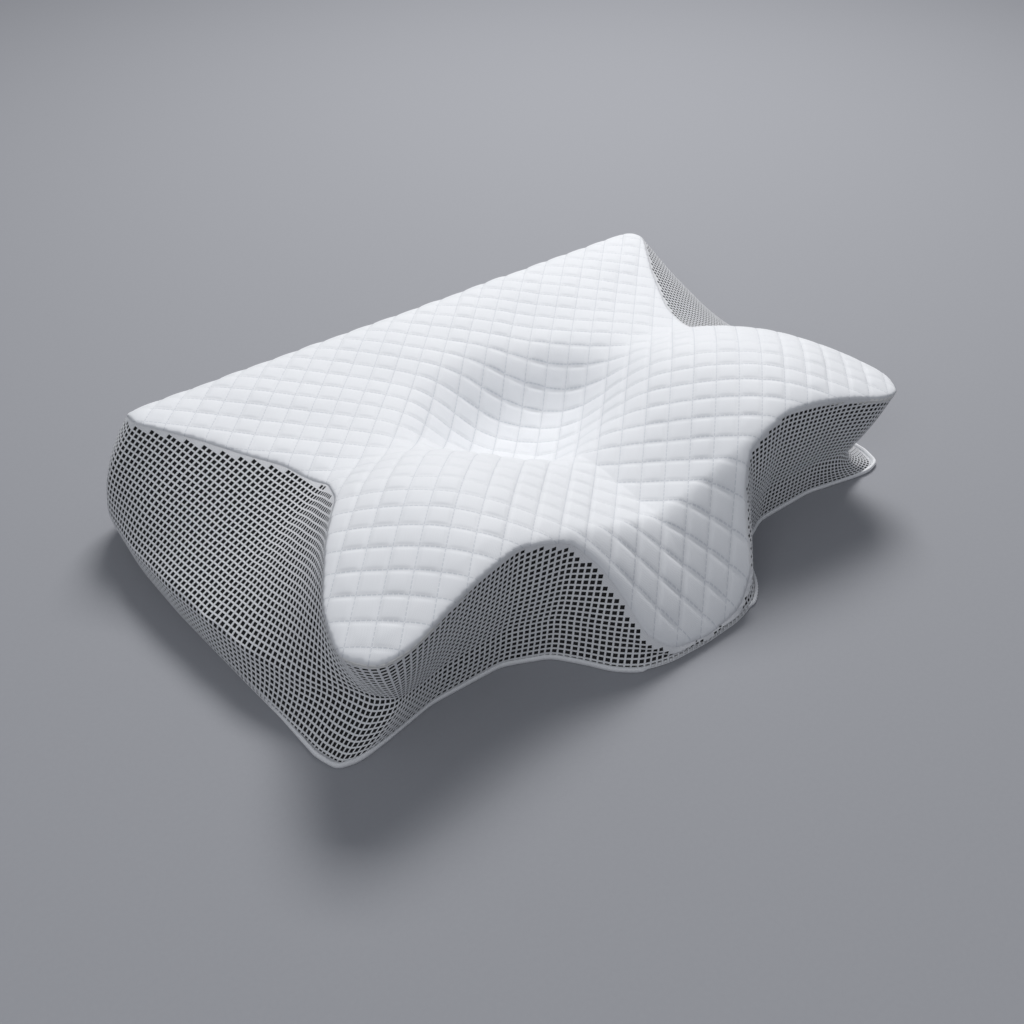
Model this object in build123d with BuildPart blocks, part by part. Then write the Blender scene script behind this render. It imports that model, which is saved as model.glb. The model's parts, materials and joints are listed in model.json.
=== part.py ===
from build123d import *
from math import exp, hypot, sqrt
import os

# Contour neck pillow: a butterfly-shaped foam block inside a fitted, zipped cover.
# Frame: origin on the ground under the middle, +X along the long back edge, +Y to the back, +Z up.
# Every soft layer is the same contoured body, set in and lowered by its own depth, so the
# layers nest with a small gap. The body is a ruled loft through upright sections along X.

os.makedirs("parts", exist_ok=True)

# ---- driving dimensions (mm) ----
BACK_Y = 209           # back wall
NOSE_Y = -211.8        # tip of the front tongue
WAIST_Z = 38           # height of the widest belt along the sides

BASE_HEIGHT = 82       # height before the contours are added
WING_HEIGHT = 54       # extra height of the neck roll on each wing
BOWL_DEPTH = 39        # depth of the head bowl
BACK_ROLL = 27         # extra height of the back roll
NOSE_HEIGHT = 12       # height of the tongue at its tip
TONGUE_START = -146    # the tongue falls from here to its tip

FACE = 1.2             # knitted face of the quilt
WADDING = 3.6          # soft filling of the quilt
BACKING = 0.7          # thin cloth behind the filling
LINER = 1.0            # inner case round the foam
GAP = 0.3              # air between neighbouring layers
BASE_CLOTH = 1.6       # flat cloth under the pillow
BINDING = 4.0          # height of the white edging along the ground

ZIP_HALF = 236         # half length of the zip chain
ZIP_Z = 22             # height of the chain's middle
TAPE_W = 11.0
TAPE_T = 0.8
TAPE_Y = 205.4         # inner face of the tapes
COIL_W = 3.4
COIL_T = 2.0
COIL_GAP = 1.2         # open middle of the chain, where the slider's wedge runs
CLEAR = 0.3            # running clearance of the slider
PLATE_T = 1.0          # front plate of the slider
SLIDER_L = 12
SLIDER_X = ZIP_HALF - 14        # where the slider stands when the zip is closed
PULL_L = 26
PULL_W = 4.4
PULL_T = 1.0
PIN_R = 0.5            # bar that the pull turns on

# Front edge of the pillow as (x, y), from the tongue's tip out to the wing's foot.
FRONT_EDGE = ((0, NOSE_Y), (30, -211), (52, -205), (70, -192), (86, -172), (108, -152), (140, -142),
              (190, -146), (235, -157), (262, -156), (284, -146), (300, -96), (312, 0))
SIDE_CORNER = ((262, 209), (284, 203), (300, 188), (312, 150))
X_STATIONS = (0, 30, 52, 70, 86, 108, 140, 165, 190, 212, 235, 262, 284, 300, 312)
Y_STEPS = 14           # spans of each section's upper edge


# ---- shape of the resting surface ----
def between(points, x):
    for (x0, y0), (x1, y1) in zip(points, points[1:]):
        if x <= x1:
            return y0 + (y1 - y0) * max(x - x0, 0) / (x1 - x0)
    return points[-1][1]


def mound(x, y, middle_x, middle_y, reach_x, reach_y):
    return exp(-(((x - middle_x) / reach_x) ** 2) - ((y - middle_y) / reach_y) ** 2)


def seam_x(y):
    reach = 100 if y > 12 else 70
    return 274 - 84 * exp(-(((y - 12) / reach) ** 2))


def crown(x, y):
    """Height of the quilted top: base, neck rolls, back roll, head bowl, sloping tongue."""
    z = BASE_HEIGHT + WING_HEIGHT * mound(x, y, 154, -90, 122, 127)
    z += BACK_ROLL * exp(-(((y - 176) / 112) ** 2)) - 7 * mound(x, y, 160, 22, 120, 30)
    z -= BOWL_DEPTH * exp(-(hypot(x / 86, (y - 16) / 61) ** 3.4))
    z -= 9 * exp(-((x / 110) ** 2)) / (1 + exp((y + 62) / 15))
    fall = min(max((TONGUE_START - y) / (TONGUE_START - NOSE_Y), 0), 1)
    z -= (z - NOSE_HEIGHT) * fall**1.35 * exp(-((x / 105) ** 4))
    edge = min(max((y - 172) / 34, 0), 1)
    return z - 24 * (1 - sqrt(1 - 0.96 * edge**2))


def top_height(x, y):
    seam = seam_x(y)
    if x <= seam:
        return crown(x, y)
    rise = crown(seam, y) - WAIST_Z
    return WAIST_Z + rise * max(1 - (x - seam) / (314 - seam), 0)


# ---- one contoured body, set in from the walls and lowered from the top ----
def narrowed(x, inset):
    """Where the section at x stands once the body is set in by inset."""
    side = max(abs(x) - 250, 0) / 62
    return x - inset * side if x > 0 else x + inset * side


def section(x, inset, drop, floor):
    reach = abs(x)
    front = between(FRONT_EDGE, reach) + inset
    back = between(((0, BACK_Y), *SIDE_CORNER), reach) - inset
    crest = []
    for i in range(Y_STEPS + 1):
        y = front + (back - front) * i / Y_STEPS
        crest.append((y, max(top_height(reach, y) - drop, floor + 0.4)))
    place = Plane(origin=(narrowed(x, inset), 0, 0), x_dir=(0, 1, 0), z_dir=(1, 0, 0))
    with BuildSketch(place) as face:
        with BuildLine():
            Polyline(crest[0], (front, floor), (back, floor), crest[-1])
            Polyline(crest)
        make_face()
    return face.sketch.faces()[0]


def body(inset, drop, floor):
    stations = [-x for x in X_STATIONS[:0:-1]] + list(X_STATIONS)
    with BuildPart() as solid:
        loft([section(x, inset, drop, floor) for x in stations], ruled=True, clean=False)
    return solid.part


def shell(outer, inner, floor):
    with BuildPart() as layer:
        add(body(outer, outer, floor), clean=False)
        add(body(inner, inner, floor - 2), mode=Mode.SUBTRACT, clean=False)
    return layer.part


def plan(points, low, high, grow):
    with BuildPart() as block:
        with BuildSketch(Plane.XY.offset(low)):
            with BuildLine():
                right = Polyline(points)
                mirror(right, about=Plane.YZ)
            make_face()
            if grow > 0:
                offset(amount=grow, kind=Kind.INTERSECTION)
        extrude(amount=high - low)
    return block.part


def base_plan(inset, low, high):
    front = [(narrowed(x, inset), between(FRONT_EDGE, x) + inset) for x in X_STATIONS]
    edge = ((0, BACK_Y), *SIDE_CORNER)
    back = [(narrowed(x, inset), between(edge, x) - inset) for x in X_STATIONS[::-1]]
    return plan(front + back, low, high, 0)


def seam_plan(grow):
    half = [(0, 202), (252, 202), (266, 192)]
    half += [(seam_x(y), y) for y in range(168, -120, -16)]
    half += [(272, -134), (258, -146), (235, -148), (190, -138), (140, -134), (112, -143)]
    half += [(92, -163), (76, -184), (56, -199), (32, -206), (0, -207)]
    return plan(half, 0, 200, grow)


def save(part, name):
    part.label = name
    export_step(part, f"parts/{name}.step")


# ---- depths of the layers below the outer surface ----
FACE_BACK = FACE
WADDING_TOP = FACE_BACK + GAP
WADDING_BACK = WADDING_TOP + WADDING
BACKING_TOP = WADDING_BACK + GAP
BACKING_BACK = BACKING_TOP + BACKING
LINER_TOP = BACKING_BACK + GAP
LINER_BACK = LINER_TOP + LINER
FOAM_TOP = LINER_BACK + GAP
BAND_FLOOR = BINDING + GAP
CASE_FLOOR = BASE_CLOTH + LINER + 2 * GAP

top_area = seam_plan(0)
side_area = seam_plan(GAP)
outer_shell = shell(0, FACE_BACK, BAND_FLOOR)
middle_shell = shell(WADDING_TOP, WADDING_BACK, BAND_FLOOR)

# ---- quilted top: knitted face, filling and backing ----
with BuildPart() as quilt_face:
    add(outer_shell)
    add(top_area, mode=Mode.INTERSECT)
quilt_face.part.label = "quilt_face"
export_step(quilt_face.part, "parts/quilt_face.step")

with BuildPart() as quilt_wadding:
    add(middle_shell)
    add(top_area, mode=Mode.INTERSECT)
quilt_wadding.part.label = "quilt_wadding"
export_step(quilt_wadding.part, "parts/quilt_wadding.step")

with BuildPart() as quilt_backing:
    add(shell(BACKING_TOP, BACKING_BACK, BAND_FLOOR))
    add(top_area, mode=Mode.INTERSECT)
quilt_backing.part.label = "quilt_backing"
export_step(quilt_backing.part, "parts/quilt_backing.step")

# ---- side band: net over spacer cloth, open at the back for the zip ----
with BuildPart() as side_net:
    add(outer_shell)
    add(side_area, mode=Mode.SUBTRACT)
    with Locations((0, BACK_Y, ZIP_Z)):
        Box(2 * ZIP_HALF + 12, 20, 14, mode=Mode.SUBTRACT)
side_net.part.label = "side_net"
export_step(side_net.part, "parts/side_net.step")

SLOT_H = 2 * TAPE_W + COIL_GAP + 4 * CLEAR
with BuildPart() as side_spacer:
    add(middle_shell)
    add(side_area, mode=Mode.SUBTRACT)
    with Locations((0, BACK_Y, ZIP_Z)):
        Box(2 * ZIP_HALF + 26, 20, SLOT_H, mode=Mode.SUBTRACT)
side_spacer.part.label = "side_spacer"
export_step(side_spacer.part, "parts/side_spacer.step")

# ---- white edging and the flat cloth under the pillow ----
with BuildPart() as edge_binding:
    add(base_plan(0, 0, BINDING))
    add(base_plan(FACE_BACK, 0, BINDING), mode=Mode.SUBTRACT)
edge_binding.part.label = "edge_binding"
export_step(edge_binding.part, "parts/edge_binding.step")

save(base_plan(FACE_BACK + GAP, 0, BASE_CLOTH), "bottom_panel")

# ---- inner case and foam ----
save(base_plan(LINER_TOP, BASE_CLOTH + GAP, BASE_CLOTH + GAP + LINER), "liner_base")
save(shell(LINER_TOP, LINER_BACK, CASE_FLOOR), "liner_top")
save(body(FOAM_TOP, FOAM_TOP, CASE_FLOOR), "foam_core")

# ---- care label inside the cover, above the zip ----
with BuildPart() as care_label:
    with Locations((150, (BACK_Y - WADDING_BACK + BACK_Y - LINER_TOP) / 2, 60)):
        Box(28, 0.6, 40)
care_label.part.label = "care_label"
export_step(care_label.part, "parts/care_label.step")

# ---- zip in the back wall ----
TAPE_FRONT = TAPE_Y + TAPE_T
COIL_FRONT = TAPE_FRONT + COIL_T
for name, side in (("upper", 1), ("lower", -1)):
    tape_z = ZIP_Z + side * (COIL_GAP / 2 + CLEAR + TAPE_W / 2)
    with BuildPart() as zip_tape:
        with Locations((0, TAPE_Y + TAPE_T / 2, tape_z)):
            Box(2 * ZIP_HALF + 22, TAPE_T, TAPE_W)
    save(zip_tape.part, f"zip_tape_{name}")
    coil_z = ZIP_Z + side * (COIL_GAP + COIL_W) / 2
    with BuildPart() as zip_coil:
        with Locations((0, TAPE_FRONT + COIL_T / 2, coil_z)):
            Box(2 * ZIP_HALF, COIL_T, COIL_W)
        fillet(zip_coil.edges().filter_by(Axis.X), COIL_T * 0.4)
    save(zip_coil.part, f"zip_coil_{name}")

CHAIN_H = 2 * COIL_W + COIL_GAP
with BuildPart() as zip_end_stop:
    with Locations((ZIP_HALF + 2.2, TAPE_FRONT + COIL_T / 2, ZIP_Z)):
        Box(4, COIL_T, CHAIN_H)
    fillet(zip_end_stop.edges().filter_by(Axis.Y), 0.8)
zip_end_stop.part.label = "zip_end_stop"
export_step(zip_end_stop.part, "parts/zip_end_stop.step")

with BuildPart() as zip_top_stops:
    for side in (1, -1):
        with Locations((-ZIP_HALF - 1.7, TAPE_FRONT + COIL_T / 2,
                        ZIP_Z + side * (COIL_GAP + COIL_W) / 2)):
            Box(3, COIL_T, COIL_W)
    fillet(zip_top_stops.edges().filter_by(Axis.X), 0.6)
zip_top_stops.part.label = "zip_top_stops"
export_step(zip_top_stops.part, "parts/zip_top_stops.step")

with BuildPart() as zip_end_patches:
    for side in (1, -1):
        with Locations((side * (ZIP_HALF + 8), TAPE_FRONT + 0.5, ZIP_Z)):
            Box(4.4, 0.6, 13)
zip_end_patches.part.label = "zip_end_patches"
export_step(zip_end_patches.part, "parts/zip_end_patches.step")

# ---- slider: two plates joined by a wedge, with a bar for the pull ----
PLATE_BACK = COIL_FRONT + CLEAR
PLATE_FRONT = PLATE_BACK + PLATE_T
FLANGE_T = 0.6
HALF_H = CHAIN_H / 2 + CLEAR + FLANGE_T
EYE_R = PULL_T
PIN_Y = PLATE_FRONT + CLEAR + EYE_R
CHEEK_T = 0.7
cheek = [(SLIDER_X - 2.6, PLATE_BACK), (SLIDER_X - 0.9, PIN_Y + 0.5),
         (SLIDER_X + 0.9, PIN_Y + 0.5), (SLIDER_X + 2.6, PLATE_BACK)]
with BuildPart() as zip_slider:
    with Locations((SLIDER_X, PLATE_BACK + PLATE_T / 2, ZIP_Z)):
        Box(SLIDER_L, PLATE_T, 2 * HALF_H)
    fillet(zip_slider.edges().filter_by(Axis.Y), 2)
    for side in (1, -1):
        with Locations((SLIDER_X, (TAPE_FRONT + CLEAR + PLATE_FRONT) / 2,
                        ZIP_Z + side * (HALF_H - FLANGE_T / 2))):
            Box(SLIDER_L - 4, PLATE_FRONT - TAPE_FRONT - CLEAR, FLANGE_T)
        cheek_z = ZIP_Z + side * (PULL_W / 2 + 0.2 + CHEEK_T / 2)
        with BuildSketch(Plane.XY.offset(cheek_z - CHEEK_T / 2)):
            with BuildLine():
                Polyline(cheek, close=True)
            make_face()
        extrude(amount=CHEEK_T)
    with Locations((SLIDER_X, TAPE_Y - CLEAR - 0.4, ZIP_Z)):
        Box(SLIDER_L, 0.8, 7)
    with Locations((SLIDER_X + SLIDER_L / 2 - 2, (TAPE_Y - CLEAR + PLATE_BACK) / 2, ZIP_Z)):
        Box(4, PLATE_BACK - TAPE_Y + CLEAR, COIL_GAP - 2 * CLEAR)
    with Locations((SLIDER_X, PIN_Y, ZIP_Z)):
        Cylinder(PIN_R, PULL_W + 1)
zip_slider.part.label = "zip_slider"
export_step(zip_slider.part, "parts/zip_slider.step")

with BuildPart() as zip_pull:
    with Locations((SLIDER_X, PIN_Y, ZIP_Z)):
        Cylinder(EYE_R, PULL_W)
    with Locations((SLIDER_X - PULL_L / 2, PIN_Y, ZIP_Z)):
        Box(PULL_L, PULL_T, PULL_W)
    with Locations((SLIDER_X - PULL_L, PIN_Y, ZIP_Z)):
        Cylinder(PULL_W / 2 + 1, PULL_T, rotation=(90, 0, 0))
        Cylinder(1.6, PULL_T, rotation=(90, 0, 0), mode=Mode.SUBTRACT)
    with Locations((SLIDER_X, PIN_Y, ZIP_Z)):
        Cylinder(PIN_R + 0.15, PULL_W, mode=Mode.SUBTRACT)
zip_pull.part.label = "zip_pull"
export_step(zip_pull.part, "parts/zip_pull.step")
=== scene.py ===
# %% [markdown]
# # A contour neck pillow, sewn in Blender
# The real object is a block of soft foam in a fitted cover: a quilted white top, a net band round the sides,
# a flat cloth underneath and a zip at the back. The CAD model gives the places and sizes of every piece.
# Here each cloth gets its own mesh and its own procedural finish. Lengths are in millimetres until a mesh is
# made, MM turns them into metres, and DIAGONAL is the sine of 45 degrees.

import json
import math

import bpy
import numpy as np
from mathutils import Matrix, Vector, kdtree, noise
from mathutils.geometry import delaunay_2d_cdt

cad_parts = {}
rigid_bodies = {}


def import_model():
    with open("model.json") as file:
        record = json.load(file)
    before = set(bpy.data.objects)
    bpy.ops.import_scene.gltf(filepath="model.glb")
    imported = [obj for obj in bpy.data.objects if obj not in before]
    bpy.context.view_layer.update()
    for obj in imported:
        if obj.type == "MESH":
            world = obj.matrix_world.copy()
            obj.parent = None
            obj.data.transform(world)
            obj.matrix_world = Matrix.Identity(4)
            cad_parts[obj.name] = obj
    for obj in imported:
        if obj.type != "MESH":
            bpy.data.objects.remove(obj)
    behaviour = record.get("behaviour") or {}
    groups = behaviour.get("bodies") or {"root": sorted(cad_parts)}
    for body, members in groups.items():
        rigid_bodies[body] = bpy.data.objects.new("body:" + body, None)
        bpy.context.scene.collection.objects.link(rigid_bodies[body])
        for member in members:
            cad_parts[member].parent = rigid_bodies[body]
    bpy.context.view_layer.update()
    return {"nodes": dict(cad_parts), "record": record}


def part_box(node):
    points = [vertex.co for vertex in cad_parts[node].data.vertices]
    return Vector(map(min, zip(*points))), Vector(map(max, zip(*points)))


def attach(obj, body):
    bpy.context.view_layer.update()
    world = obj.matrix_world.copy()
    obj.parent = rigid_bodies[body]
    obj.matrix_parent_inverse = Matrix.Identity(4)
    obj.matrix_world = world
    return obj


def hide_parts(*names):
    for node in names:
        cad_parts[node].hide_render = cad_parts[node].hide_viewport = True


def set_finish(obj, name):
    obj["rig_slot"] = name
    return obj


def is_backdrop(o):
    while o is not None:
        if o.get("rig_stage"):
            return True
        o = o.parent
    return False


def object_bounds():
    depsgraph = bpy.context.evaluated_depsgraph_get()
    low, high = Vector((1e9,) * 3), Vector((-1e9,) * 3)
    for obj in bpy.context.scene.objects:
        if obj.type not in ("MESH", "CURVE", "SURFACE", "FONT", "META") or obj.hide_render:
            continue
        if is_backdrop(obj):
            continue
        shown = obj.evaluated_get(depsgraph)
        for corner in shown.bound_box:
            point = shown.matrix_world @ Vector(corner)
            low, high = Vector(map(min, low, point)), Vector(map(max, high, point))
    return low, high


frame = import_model()
MM = 0.001
DIAGONAL = math.sqrt(0.5)

# %% [markdown]
# ## Camera
# The camera looks down on the left front corner from about 39 degrees. It is made first, so that every later
# step can be looked at. Its aim is a point inside the pillow, and its place follows from two angles and a
# distance, which is easier to adjust than three coordinates.

# %% Place the camera
AZIMUTH = math.radians(-37.53)
ELEVATION = math.radians(39.10)
DISTANCE = 0.9173
AIM = Vector((-0.0577, -0.0425, 0.0479))
toward_camera = Vector((math.sin(AZIMUTH) * math.cos(ELEVATION),
                        -math.cos(AZIMUTH) * math.cos(ELEVATION), math.sin(ELEVATION)))
camera_data = bpy.data.cameras.new("camera")
camera_data.lens = 40.0
camera_data.sensor_width = 36.0
camera = bpy.data.objects.new("camera", camera_data)
bpy.context.collection.objects.link(camera)
camera.location = AIM + toward_camera * DISTANCE
camera.rotation_euler = toward_camera.to_track_quat("Z", "Y").to_euler()
bpy.context.scene.camera = camera
print("camera at", [round(v, 3) for v in camera.location])

# %% [markdown]
# ## The shape of the top
# Foam pillows of this kind are carved from one smooth surface: a sunken bowl for the head, two high rolls for
# the neck, a lower roll along the back and a tongue that slopes down at the front. A formula keeps it smooth
# at any mesh density, so the same function serves the cloth, its filling and the foam.

# %% The crown formula
WAIST = 38.0
BASE_HEIGHT = 82.0
WING_HEIGHT = 54.0
BACK_ROLL = 27.0
BOWL_DEPTH = 39.0
SADDLE_DIP = 7.0
TONGUE_DIP = 9.0
BACK_EDGE = 172.0
BACK_EDGE_REACH = 34.0
BACK_EDGE_FALL = 24.0
TONGUE_START = -146.0
NOSE = -214.0
NOSE_HEIGHT = 7.0


def mound(x, y, middle_x, middle_y, reach_x, reach_y):
    """A smooth hill of height 1 in plan."""
    return np.exp(-((x - middle_x) / reach_x) ** 2 - ((y - middle_y) / reach_y) ** 2)


def crown(x, y):
    """Height of the top: base, neck rolls, back roll, saddles, head bowl, tongue, rounded back edge."""
    x = np.abs(x)
    z = BASE_HEIGHT + WING_HEIGHT * mound(x, y, 154, -90, 122, 127)
    z = z + BACK_ROLL * np.exp(-((y - 176) / 112) ** 2)
    z = z - SADDLE_DIP * mound(x, y, 160, 22, 120, 30)
    z = z - BOWL_DEPTH * np.exp(-np.hypot(x / 86, (y - 16) / 61) ** 3.4)
    z = z - TONGUE_DIP * np.exp(-(x / 110) ** 2) / (1 + np.exp((y + 62) / 15))
    fall = np.clip((TONGUE_START - y) / (TONGUE_START - NOSE), 0, 1)
    z = z - (z - NOSE_HEIGHT) * fall ** 1.35 * np.exp(-(x / 105) ** 4)
    edge = np.clip((y - BACK_EDGE) / BACK_EDGE_REACH, 0, 1)
    return z - BACK_EDGE_FALL * (1 - np.sqrt(1 - 0.96 * edge ** 2))


print("bowl", round(float(crown(0, 5)), 1), "roll", round(float(crown(170, -94)), 1), "mm")

# %% [markdown]
# ## The outlines of the side
# The side follows three lines: the foot that rests on the table, the waist 38 mm up, and the seam of the
# quilt. Each row below is one place round the right half, from the middle of the back to the tip of the
# tongue, and gives foot, waist and seam as seen from above. Between the rows the lines are straight, then
# smoothed, because a smoothed polyline never overshoots at a tight corner as a spline would. The left half
# mirrors the right.

# %% Rows of foot, waist and seam
ROWS = (
    ((0, 209), (0, 209), (0, 201)),
    ((110, 209), (110, 209), (110, 201)),
    ((200, 209), (202, 209), (200, 201)),
    ((256, 209), (260, 209), (254, 201)),
    ((288, 202), (296, 202), (273, 194)),
    ((303, 174), (313, 172), (275, 170)),
    ((309, 120), (316, 118), (240, 120)),
    ((307, 60), (312, 60), (203, 58)),
    ((303, 8), (305, 8), (190, 12)),
    ((299, -42), (296, -42), (201, -20)),
    ((295, -92), (280, -90), (233, -60)),
    ((292, -126), (258, -116), (262, -104)),
    ((286, -144), (246, -134), (274, -142)),
    ((270, -148), (236, -146), (258, -166)),
    ((246, -144), (226, -146), (233, -169)),
    ((203, -135), (196, -140), (188, -160)),
    ((140, -136), (138, -139), (134, -149)),
    ((105, -152), (102, -152), (90, -153)),
    ((88, -174), (84, -172), (73, -168)),
    ((76, -192), (70, -188), (63, -184)),
    ((60, -205), (56, -202), (56, -200)),
    ((36, -212), (36, -210), (36, -210)),
    ((0, -214), (0, -213), (0, -213)),
)
SMOOTHING = 5.0
OUTLINE_STEP = 1.0
STEPS_PER_ROW = 40


def closed_outlines():
    """Foot, waist and seam round the whole pillow, one sample per step, and the girth."""
    right = np.array(ROWS, float)
    left = right[-2:0:-1] * (-1, 1)
    rows = np.concatenate([right, left])
    ahead = np.roll(rows, -1, axis=0)
    steps = np.linspace(0, 1, STEPS_PER_ROW, endpoint=False)[None, :, None, None]
    fine = (rows[:, None] + (ahead - rows)[:, None] * steps).reshape(-1, 3, 2)
    gaps = np.linalg.norm(np.roll(fine, -1, axis=0) - fine, axis=2).mean(axis=1)
    along = np.concatenate([[0], np.cumsum(gaps)])
    fine = np.concatenate([fine, fine[:1]])
    even = np.arange(0, along[-1], OUTLINE_STEP)
    lines = np.stack([[np.interp(even, along, fine[:, k, c]) for c in (0, 1)] for k in range(3)])
    turns = np.fft.fftfreq(len(even), OUTLINE_STEP)
    soften = np.exp(-2 * (math.pi * SMOOTHING * turns) ** 2)
    lines = np.real(np.fft.ifft(np.fft.fft(lines, axis=2) * soften, axis=2))
    return lines.transpose(2, 0, 1), along[-1]


OUTLINES, GIRTH = closed_outlines()
print("girth", round(GIRTH), "mm, samples", len(OUTLINES))

# %% [markdown]
# ## The side as columns
# The side is measured as a tailor would: so far round the girth, then so far up from the table. A column
# rises from the foot, swells to the waist, and leans in to the seam. Lengths are measured along it, so the
# net's meshes stay the same size however high the side is.

# %% Columns round the girth
PROFILE_POINTS = 34
SWELL = 2.0
CORNER_SWELL = 9.0
LOOK_AHEAD = 3
MEASURE_STEP = 5.0


def columns(around):
    """Profile points of the side at places round the girth, in millimetres."""
    place = np.asarray(around, float) % GIRTH
    index = np.arange(len(OUTLINES) + 1) * GIRTH / len(OUTLINES)
    looped = np.concatenate([OUTLINES, OUTLINES[:1]])
    foot, waist, seam = [np.stack([np.interp(place, index, looped[:, k, c]) for c in (0, 1)], axis=1)
                         for k in range(3)]
    ahead = np.roll(OUTLINES[:, 1], -LOOK_AHEAD, axis=0) - OUTLINES[:, 1]
    turn = np.stack([-ahead[:, 1], ahead[:, 0]], axis=1)
    turn = turn / np.linalg.norm(turn, axis=1)[:, None]
    turn = np.concatenate([turn, turn[:1]])
    outward = np.stack([np.interp(place, index, turn[:, c]) for c in (0, 1)], axis=1)
    top = crown(seam[:, 0], seam[:, 1])
    middle = np.minimum(WAIST, 0.5 * top)
    swell = SWELL + CORNER_SWELL * mound(np.abs(waist[:, 0]), waist[:, 1], 305, 130, 45, 75)
    height = np.linspace(0, 1, PROFILE_POINTS)[None, :] * top[:, None]
    low = np.clip(height / middle[:, None], 0, 1)
    high = np.clip((height - middle[:, None]) / (top - middle)[:, None], 0, 1)
    flat = foot[:, None] + (waist - foot)[:, None] * np.sin(low * math.pi / 2)[..., None]
    flat = flat + (seam - waist)[:, None] * high[..., None]
    flat = flat + (outward * swell[:, None])[:, None] * np.sin(high * math.pi)[..., None]
    return np.concatenate([flat, height[..., None]], axis=2)


def climb(profiles, lengths):
    """Points that lie the given lengths up each column; lengths past the seam stop at it."""
    gaps = np.linalg.norm(np.diff(profiles, axis=1), axis=2)
    run = np.concatenate([np.zeros((len(gaps), 1)), np.cumsum(gaps, axis=1)], axis=1)
    points = np.empty((len(profiles), len(lengths), 3))
    for i, profile in enumerate(profiles):
        for c in range(3):
            points[i, :, c] = np.interp(lengths, run[i], profile[:, c])
    return points, run[:, -1]


heights = climb(columns(np.arange(0, GIRTH, MEASURE_STEP)), [0])[1]
print("band height from", round(heights.min()), "to", round(heights.max()), "mm")

# %% [markdown]
# ## Small tools for making meshes
# Every piece ends as one mesh object in metres. These helpers make the mesh, smooth it, and give it its
# place in the frame: which body it rides on, which CAD solids it stands for, and which finish slot it takes.

# %% Mesh helpers


def piece(name, points, faces, stands_for, slot, body="pillow", smooth=True):
    mesh = bpy.data.meshes.new(name)
    mesh.from_pydata([tuple(p) for p in np.asarray(points) * MM], [], [tuple(f) for f in faces])
    mesh.validate()
    mesh.update()
    mesh.polygons.foreach_set("use_smooth", [smooth] * len(mesh.polygons))
    made = bpy.data.objects.new(name, mesh)
    bpy.context.collection.objects.link(made)
    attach(made, body)
    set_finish(made, slot)
    if stands_for:
        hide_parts(*stands_for)
    print(name, len(mesh.vertices), "points", len(mesh.polygons), "faces")
    return made


def thicken(made, thickness, offset=-1.0):
    """Gives a skin its thickness: inwards at offset -1, outwards at 1, both ways at 0."""
    layer = made.modifiers.new("thickness", "SOLIDIFY")
    layer.thickness = thickness * MM
    layer.offset = offset
    layer.use_even_offset = False
    return made


def set_in(points, faces, depth):
    """The points moved inwards, against their own mesh normals."""
    mesh = bpy.data.meshes.new("scratch")
    mesh.from_pydata([tuple(p) for p in points], [], [tuple(f) for f in faces])
    mesh.update()
    normals = np.empty(len(mesh.vertices) * 3, np.float32)
    mesh.vertices.foreach_get("normal", normals)
    bpy.data.meshes.remove(mesh)
    return np.asarray(points) - normals.reshape(-1, 3) * depth


# %% [markdown]
# ## Filling an outline
# The quilt's diamonds run at 45 degrees, so its mesh is a diagonal grid: every stitched line then falls
# exactly on mesh edges and stays crisp. The grid stops short of the seam, and a Delaunay fill joins its steps
# to the smooth outline.

# %% A diagonal grid inside a loop
RIM_CLEAR = 0.8
WELD = 1e-5


def inside(px, py, loop):
    """Which points lie inside the loop: those that a line to one side crosses an odd number of times."""
    crossings = np.zeros(px.shape, bool)
    for (ax, ay), (bx, by) in zip(loop, np.roll(loop, -1, axis=0)):
        if ay != by:
            spans = (ay > py) != (by > py)
            crossings ^= spans & (px < ax + (py - ay) * (bx - ax) / (by - ay))
    return crossings


def reach_of(points, loop):
    """How far each point is from the nearest point of the loop."""
    tree = kdtree.KDTree(len(loop))
    for i, p in enumerate(loop):
        tree.insert((p[0], p[1], 0), i)
    tree.balance()
    return np.array([tree.find((p[0], p[1], 0))[2] for p in points])


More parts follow.
